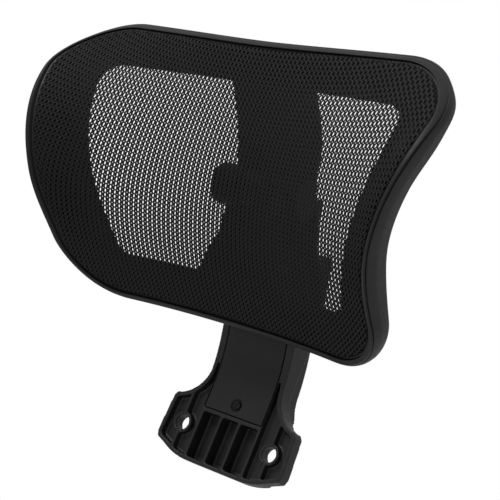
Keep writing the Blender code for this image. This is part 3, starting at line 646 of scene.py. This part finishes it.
def foot_outline(inset):
    """The bracket's outline from the front, drawn in by a wall thickness."""
    bottom_radius = 0.049
    half = [(0, FOOT_BOTTOM + inset)]
    half += arc((0.022, FOOT_BOTTOM + bottom_radius), bottom_radius - inset, 270, 297)
    half += [(FOOT_SHOULDER_WIDTH - inset, -0.0150 + inset * 0.6), (FOOT_HALF_WIDTH - inset, -0.0108)]
    half += [(FOOT_SHOULDER_WIDTH - inset, 0.0160 - inset), (0.0500 - inset * 0.5, EAR_TOP - inset)]
    half += arc(FLARE_CENTRE, FLARE_RADIUS + inset, 253, 180, 24)
    half += [(SLEEVE_HALF_WIDTH - inset, ABOVE_SLEEVE), (0, ABOVE_SLEEVE)]
    return half + [(-x, z) for x, z in reversed(half) if x > 0]


def along_cover_screw(radius, front, rear, far_radius=None):
    """A cylinder or cone on the cover screw's axis, between two places in Y."""
    return cylinder(radius, (0, front, COVER_SCREW_Z), (0, rear, COVER_SCREW_Z), far_radius=far_radius)


def bracket_body():
    """The solid that the channel and the pockets are cut from, with the foot's stepped rear edge."""
    side = post_line(0, SIDE_BOTTOM, SLEEVE_LENGTH)
    side += post_line(SLEEVE_DEPTH, ARC_BOTTOM, SLEEVE_LENGTH)[1:][::-1]
    side += [SHOULDER_REAR, (0, SHOULDER_Z), (0, SIDE_BOTTOM)]
    body = new_object("bracket_moulding", prism(side, -FAR, FAR, ACROSS))
    combine(body, prism(foot_outline(0), -FAR, FAR, FROM_FRONT), "INTERSECT")
    rear_edge = new_object("rear_edge", box((-FAR, FOOT_REAR_STEP, -FAR), (FAR, FAR, FAR)))
    combine(rear_edge, prism(foot_outline(FOOT_REAR_INSET), -FAR, 2 * FAR, FROM_FRONT))
    subtract_object(body, rear_edge)
    step_x, step_y = EAR_STEP
    for left, right in ((-FAR, -step_x), (step_x, FAR)):
        combine(body, box((left, step_y, -FAR), (right, FAR, FAR)))
    return body


def cut_channel(bracket):
    """The stem's channel, open at the top, and the recess for the cover in its front."""
    length = SLEEVE_LENGTH + CHANNEL_PAST_TOP
    bottom = COVER_BOTTOM - GAP
    channel = post_line(COVER_THICKNESS / 2, bottom, length)
    channel += post_line(SLEEVE_DEPTH - CHANNEL_WALL, ARC_BOTTOM, length)[1:][::-1]
    channel += [(-FOOT_WALL, CHANNEL_KNEE), (-FOOT_WALL, bottom)]
    combine(bracket, prism(channel, -CHANNEL_HALF_WIDTH, CHANNEL_HALF_WIDTH, ACROSS))
    recess = post_line(-PAST, bottom, length)
    recess += post_line(COVER_THICKNESS + GAP, bottom, length)[::-1]
    half = COVER_HALF_WIDTH + GAP
    combine(bracket, prism(recess, -half, half, ACROSS))


def ear_pocket(wall, front, rear, top):
    """The hollow of both ears between two depths, bounded by the outer wall and the long ribs."""
    pocket = new_object("pocket", prism(foot_outline(wall), front, rear, FROM_FRONT))
    inner = OUTER_RIB_X + RIB_THICKNESS / 2
    combine(pocket, box((-inner, -FAR, -FAR), (inner, FAR, FAR)))
    combine(pocket, box((-FAR, -FAR, top), (FAR, FAR, FAR)))
    return pocket


def cut_foot_pockets(bracket):
    """The pockets between the foot's ribs and in its ears, which leave a boss round each screw hole."""
    half_rib = RIB_THICKNESS / 2
    open_front = -FOOT_DEPTH - PAST
    edges = [-OUTER_RIB_X, -INNER_RIB_X, INNER_RIB_X, OUTER_RIB_X]
    for left, right in zip(edges, edges[1:]):
        low = (left + half_rib, open_front, FOOT_BOTTOM + FOOT_WALL)
        combine(bracket, box(low, (right - half_rib, FOOT_FLOOR, FOOT_RIB_TOP)))
    front = ear_pocket(FOOT_WALL, open_front, EAR_WEB_FRONT, EAR_FRONT_POCKET_TOP)
    for x in (-HOLE_HALF_SPACING, HOLE_HALF_SPACING):
        combine(front, cylinder(BOSS_RADIUS, (x, BOSS_FRONT, 0), (x, FAR, 0)))
        combine(front, box((x - half_rib, -FAR, -FAR), (x + half_rib, FAR, FAR)))
    subtract_object(bracket, front)
    rear = ear_pocket(FOOT_REAR_INSET + FOOT_WALL, EAR_WEB_REAR, PAST, EAR_REAR_POCKET_TOP)
    subtract_object(bracket, rear)
    for x in (-HOLE_HALF_SPACING, HOLE_HALF_SPACING):
        combine(bracket, cylinder(HOLE_RADIUS, (x, -FAR, 0), (x, FAR, 0)))


def make_bracket():
    """The foot and the sleeve, moulded in one, with a post for the cover's screw."""
    bracket = bracket_body()
    cut_channel(bracket)
    cut_foot_pockets(bracket)
    post_front = -FOOT_DEPTH + COVER_THICKNESS + GAP
    combine(bracket, along_cover_screw(SCREW_POST_RADIUS, post_front, -FOOT_WALL + PAST), "UNION")
    combine(bracket, along_cover_screw(PILOT_RADIUS, post_front - PAST, post_front + PILOT_DEPTH))
    soften(bracket, grid=0.0007)
    return bracket


def make_cover():
    """The plate in the front of the sleeve, with a sunk seat for its screw."""
    bottom = COVER_BOTTOM + GAP
    half = COVER_HALF_WIDTH - GAP
    outline = post_line(0, bottom, SLEEVE_LENGTH)
    outline += post_line(COVER_THICKNESS, bottom, SLEEVE_LENGTH)[::-1]
    cover = new_object("front_cover_plate", prism(outline, -half, half, ACROSS))
    round_edges(cover, COVER_EDGE)
    seat = -FOOT_DEPTH + COVER_SCREW_SEAT
    combine(cover, along_cover_screw(SEAT_RADIUS, -FOOT_DEPTH - SEAT_LEAD, seat, SEAT_FLOOR_RADIUS))
    combine(cover, along_cover_screw(COVER_HOLE_RADIUS, seat - PAST, 0))
    apply_modifiers(cover)
    smooth_shading(cover, angle=30)
    return cover


def make_cover_screw():
    """A cross-head screw whose tapered head sits in the cover's seat."""
    under = -FOOT_DEPTH + COVER_SCREW_SEAT - GAP
    top = under - SCREW_HEAD_HEIGHT
    head = along_cover_screw(SCREW_HEAD_RADIUS, under, top, SCREW_HEAD_TOP_RADIUS)
    screw = new_object("cover_screw_head", head)
    shank = along_cover_screw(SCREW_SHANK_RADIUS, under - SCREW_HEAD_HEIGHT / 3, under + SCREW_SHANK_LENGTH)
    combine(screw, shank, "UNION")
    for turn in CROSS_TURNS:
        place = Matrix.Translation((0, top, COVER_SCREW_Z)) @ Matrix.Rotation(radians(turn), 4, "Y")
        low = (-CROSS_HALF_LENGTH, -PAST, -CROSS_HALF_WIDTH)
        combine(screw, box(low, (CROSS_HALF_LENGTH, CROSS_DEPTH, CROSS_HALF_WIDTH), place))
    apply_modifiers(screw)
    smooth_shading(screw, angle=30)
    return screw


# ---------------------------------------------------------------- tilt hinge

def on_hinge(radius, start, end):
    """A cylinder on the tilt axis, between two places across."""
    return cylinder(radius, (start, HINGE_V, HINGE_N), (end, HINGE_V, HINGE_N), PANEL)


def behind_seat():
    """All that lies behind the face where the yoke sits on the bridge."""
    return box((-FAR, -FAR, -FAR), (FAR, FAR, YOKE_SEAT), PANEL)


def make_yoke():
    """The headrest's half of the hinge: two knuckles on a base plate."""
    bottom, top = YOKE_ENDS
    slot_bottom, slot_top = YOKE_SLOT
    inner, outer = KNUCKLE_SPAN
    plate = box((-outer, bottom, YOKE_SEAT), (outer, top, YOKE_SEAT + YOKE_BASE_THICKNESS), PANEL)
    yoke = new_object("yoke_moulding", plate)
    for start, end in ((-outer, -inner), (inner, outer)):
        combine(yoke, on_hinge(KNUCKLE_RADIUS, start, end), "UNION")
    combine(yoke, behind_seat())
    combine(yoke, box((-inner, slot_bottom, YOKE_SEAT - PAST), (inner, slot_top, IN_FRONT), PANEL))
    combine(yoke, on_hinge(AXLE_RADIUS, -AXLE_REACH, AXLE_REACH))
    cut_yoke_screw_holes(yoke)
    soften(yoke, grid=0.0006)
    return yoke


def make_end_cap(side, sign):
    """A cup over the bolt's end, with a rounded rim and a flat rear."""
    start = KNUCKLE_SPAN[1] + GAP
    cap = new_object(f"end_cap_cup_{side}", on_hinge(KNUCKLE_RADIUS, sign * start, sign * CAP_END))
    round_edges(cap, CAP_EDGE)
    combine(cap, on_hinge(CAP_HOLLOW_RADIUS, sign * (start - PAST), sign * (CAP_END - CAP_WALL)))
    combine(cap, behind_seat())
    apply_modifiers(cap)
    smooth_shading(cap, angle=30)
    return cap


# ---------------------------------------------------------------- materials

def new_material(name):
    material = bpy.data.materials.new(name)
    material.use_nodes = True
    tree = material.node_tree
    shader = tree.nodes["Principled BSDF"]
    place = tree.nodes.new("ShaderNodeTexCoord").outputs["Object"]
    return material, tree, shader, place


def noise(tree, place, scale, detail=2.0, roughness=0.5):
    node = tree.nodes.new("ShaderNodeTexNoise")
    tree.links.new(place, node.inputs["Vector"])
    node.inputs["Scale"].default_value = scale
    node.inputs["Detail"].default_value = detail
    node.inputs["Roughness"].default_value = roughness
    return node.outputs["Fac"]


def ramp(tree, value, low, high):
    """Map a noise value to a range of numbers."""
    usual_low, usual_high = 0.3, 0.7    # where most of a noise's values lie
    node = tree.nodes.new("ShaderNodeMapRange")
    tree.links.new(value, node.inputs["Value"])
    node.inputs["From Min"].default_value = usual_low
    node.inputs["From Max"].default_value = usual_high
    node.inputs["To Min"].default_value = low
    node.inputs["To Max"].default_value = high
    return node.outputs["Result"]


def colours(tree, value, dark, light):
    """Mix two colours by a noise value."""
    node = tree.nodes.new("ShaderNodeMix")
    node.data_type = "RGBA"
    tree.links.new(value, node.inputs["Factor"])
    node.inputs["A"].default_value = (*dark, 1)
    node.inputs["B"].default_value = (*light, 1)
    return node.outputs["Result"]


def bump(tree, shader, height, depth):
    node = tree.nodes.new("ShaderNodeBump")
    node.inputs["Strength"].default_value = 1.0
    node.inputs["Distance"].default_value = depth
    tree.links.new(height, node.inputs["Height"])
    tree.links.new(node.outputs["Normal"], shader.inputs["Normal"])


def moulded_plastic(name, colour, roughness, sheen):
    """Spark-eroded plastic: a fine grain, with slow changes of shade and gloss."""
    material, tree, shader, place = new_material(name)
    dark, light = [c * 0.82 for c in colour], [c * 1.2 for c in colour]
    shade = noise(tree, place, scale=55, detail=3)
    tree.links.new(colours(tree, shade, dark, light), shader.inputs["Base Color"])
    shader.inputs["Specular IOR Level"].default_value = sheen
    gloss = ramp(tree, noise(tree, place, scale=320, detail=4), roughness - 0.05, roughness + 0.07)
    tree.links.new(gloss, shader.inputs["Roughness"])
    bump(tree, shader, noise(tree, place, scale=1400, detail=3, roughness=0.6), depth=0.00003)
    return material


def fibre_lining(name, colour):
    """Pressed fibre: rough, with short flecks."""
    material, tree, shader, place = new_material(name)
    dark, light = [c * 0.6 for c in colour], [c * 1.7 for c in colour]
    flecks = noise(tree, place, scale=900, detail=4, roughness=0.7)
    tree.links.new(colours(tree, flecks, dark, light), shader.inputs["Base Color"])
    gloss = ramp(tree, noise(tree, place, scale=300), 0.8, 0.95)
    tree.links.new(gloss, shader.inputs["Roughness"])
    bump(tree, shader, flecks, depth=0.0001)
    return material


def turned_steel(name, colour, roughness):
    """Plated steel: metallic, with faint stains in the gloss and fine tool marks."""
    material, tree, shader, place = new_material(name)
    shader.inputs["Metallic"].default_value = 1.0
    dark, light = [c * 0.85 for c in colour], [c * 1.1 for c in colour]
    stains = noise(tree, place, scale=180, detail=3)
    tree.links.new(colours(tree, stains, dark, light), shader.inputs["Base Color"])
    gloss = ramp(tree, stains, roughness - 0.06, roughness + 0.1)
    tree.links.new(gloss, shader.inputs["Roughness"])
    bump(tree, shader, noise(tree, place, scale=2500), depth=0.000008)
    return material


def yarn(name, colour):
    """Spun polyester: matt, with a fine bumpy fibre and a slow change of shade over the mesh."""
    material, tree, shader, place = new_material(name)
    shader.inputs["Specular IOR Level"].default_value = 0.22
    dark, light = [c * 0.8 for c in colour], [c * 1.25 for c in colour]
    shade = noise(tree, place, scale=40, detail=3)
    tree.links.new(colours(tree, shade, dark, light), shader.inputs["Base Color"])
    gloss = ramp(tree, noise(tree, place, scale=1500, detail=3), 0.6, 0.8)
    tree.links.new(gloss, shader.inputs["Roughness"])
    bump(tree, shader, noise(tree, place, scale=6000), depth=0.00004)
    return material


# ---------------------------------------------------------------- the object

def place_piece(obj, body, material, slot, *nodes):
    """Give a piece its material, its body and the CAD nodes that it stands for; the slot is not used."""
    obj.data.materials.clear()
    obj.data.materials.append(material)
    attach(obj, body)
    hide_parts(*nodes)


frame_black = moulded_plastic("frame_black", (0.0240, 0.0240, 0.0245), roughness=0.38, sheen=0.16)
bracket_black = moulded_plastic("bracket_black", (0.0140, 0.0140, 0.0145), roughness=0.40, sheen=0.4)
cover_black = moulded_plastic("cover_black", (0.0185, 0.0185, 0.0188), roughness=0.52, sheen=0.3)
hinge_black = moulded_plastic("hinge_black", (0.011, 0.011, 0.0115), roughness=0.45, sheen=0.3)
guide_grey = moulded_plastic("guide_grey", (0.15, 0.15, 0.155), roughness=0.42, sheen=0.3)
felt_black = fibre_lining("lining_black", (0.020, 0.019, 0.018))
zinc = turned_steel("zinc_steel", (0.52, 0.53, 0.55), roughness=0.30)
black_zinc = turned_steel("black_zinc", (0.045, 0.045, 0.048), roughness=0.36)
weave_black = yarn("weave_black", (0.0120, 0.0120, 0.0124))

shell = make_headrest_frame()
place_piece(shell, "headrest", frame_black, "frame_plastic", "headrest_frame")
weave = make_weave()
place_piece(weave, "headrest", weave_black, "mesh_weave", "mesh_fabric")
strip = make_edge_strip()
place_piece(strip, "headrest", hinge_black, "hinge_plastic", "mesh_edge_strip")
place_piece(make_yoke(), "headrest", hinge_black, "hinge_plastic", "tilt_yoke")
for side, sign in (("left", -1), ("right", 1)):
    place_piece(make_end_cap(side, sign), "headrest", hinge_black, "hinge_plastic", f"hinge_end_cap_{side}")
place_piece(make_bracket(), "bracket", bracket_black, "bracket_plastic", "mounting_bracket")
place_piece(make_cover(), "bracket", cover_black, "cover_plastic", "post_front_cover")
place_piece(make_cover_screw(), "bracket", black_zinc, "black_screws", "cover_screw")

# CAD nodes that are seen as they are; those not named here are screws in black_zinc
carried_over = {
    "height_stem": bracket_black,
    "stem_guide_bush": guide_grey,
    "stem_shoe": guide_grey,
    "friction_pad": felt_black,
    "friction_washer_left": felt_black,
    "friction_washer_right": felt_black,
    "hinge_axle": zinc,
    "hinge_lock_nut": zinc,
    "spring_washer": zinc,
    "pad_spring": zinc,
}
for name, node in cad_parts.items():
    if not node.hide_render:
        node.data.materials.clear()
        node.data.materials.append(carried_over.get(name, black_zinc))

# ---------------------------------------------------------------- studio

CAMERA_PLACE = Vector((0.4384, -0.6671, -0.0328))
CAMERA_AZIMUTH = radians(36.427)
CAMERA_ELEVATION = radians(-11.458)
CAMERA_ROLL = radians(22.662)
CAMERA_LENS = 82.6
FLOOR_Z, FLOOR_RADIUS = -0.45, 1.2
BACKDROP_LIGHT, BACKDROP_SEEN = 0.42, 1.0


def make_camera():
    """The photo's view, from a camera that was fitted to it."""
    az, el, roll = CAMERA_AZIMUTH, CAMERA_ELEVATION, CAMERA_ROLL
    forward = Vector((-sin(az) * cos(el), cos(az) * cos(el), -sin(el)))
    level = Vector((cos(az), sin(az), 0))
    upright = level.cross(forward)
    right = cos(roll) * level + sin(roll) * upright
    up = -sin(roll) * level + cos(roll) * upright
    data = bpy.data.cameras.new("camera")
    data.lens = CAMERA_LENS
    data.clip_start = 0.01
    camera = bpy.data.objects.new("camera", data)
    matrix = Matrix((right, up, -forward)).transposed().to_4x4()
    matrix.translation = CAMERA_PLACE
    camera.matrix_world = matrix
    bpy.context.scene.collection.objects.link(camera)
    bpy.context.scene.camera = camera


def area_light(name, place, target, size, power):
    data = bpy.data.lights.new(name, "AREA")
    data.shape = "DISK"
    data.size = size
    data.energy = power
    light = bpy.data.objects.new(name, data)
    light.location = place
    light.rotation_euler = (Vector(target) - Vector(place)).to_track_quat("-Z", "Y").to_euler()
    bpy.context.scene.collection.objects.link(light)


def make_world():
    """A white studio: the backdrop is brighter to the eye than the light that it gives."""
    world = bpy.data.worlds.new("studio")
    bpy.context.scene.world = world
    world.use_nodes = True
    tree = world.node_tree
    background = tree.nodes["Background"]
    path = tree.nodes.new("ShaderNodeLightPath")
    strength = tree.nodes.new("ShaderNodeMapRange")
    strength.inputs["To Min"].default_value = BACKDROP_LIGHT
    strength.inputs["To Max"].default_value = BACKDROP_SEEN
    tree.links.new(path.outputs["Is Camera Ray"], strength.inputs["Value"])
    tree.links.new(strength.outputs["Result"], background.inputs["Strength"])
    background.inputs["Color"].default_value = (1, 1, 1, 1)


def make_floor():
    bm = bmesh.new()
    bmesh.ops.create_circle(bm, cap_ends=True, segments=96, radius=FLOOR_RADIUS)
    floor = new_object("floor", finished(bm, "floor"))
    floor.location = (0, 0, FLOOR_Z)
    material, tree, shader, place = new_material("floor_pale")
    shade = colours(tree, noise(tree, place, scale=3), (0.80, 0.80, 0.80), (0.84, 0.84, 0.84))
    tree.links.new(shade, shader.inputs["Base Color"])
    shader.inputs["Roughness"].default_value = 0.8
    floor.data.materials.append(material)


make_camera()
make_world()
make_floor()
area_light("key", place=(-0.5, -1.3, 1.3), target=(0, -0.1, 0.1), size=1.0, power=18)
bpy.context.scene.view_settings.view_transform = "Standard"
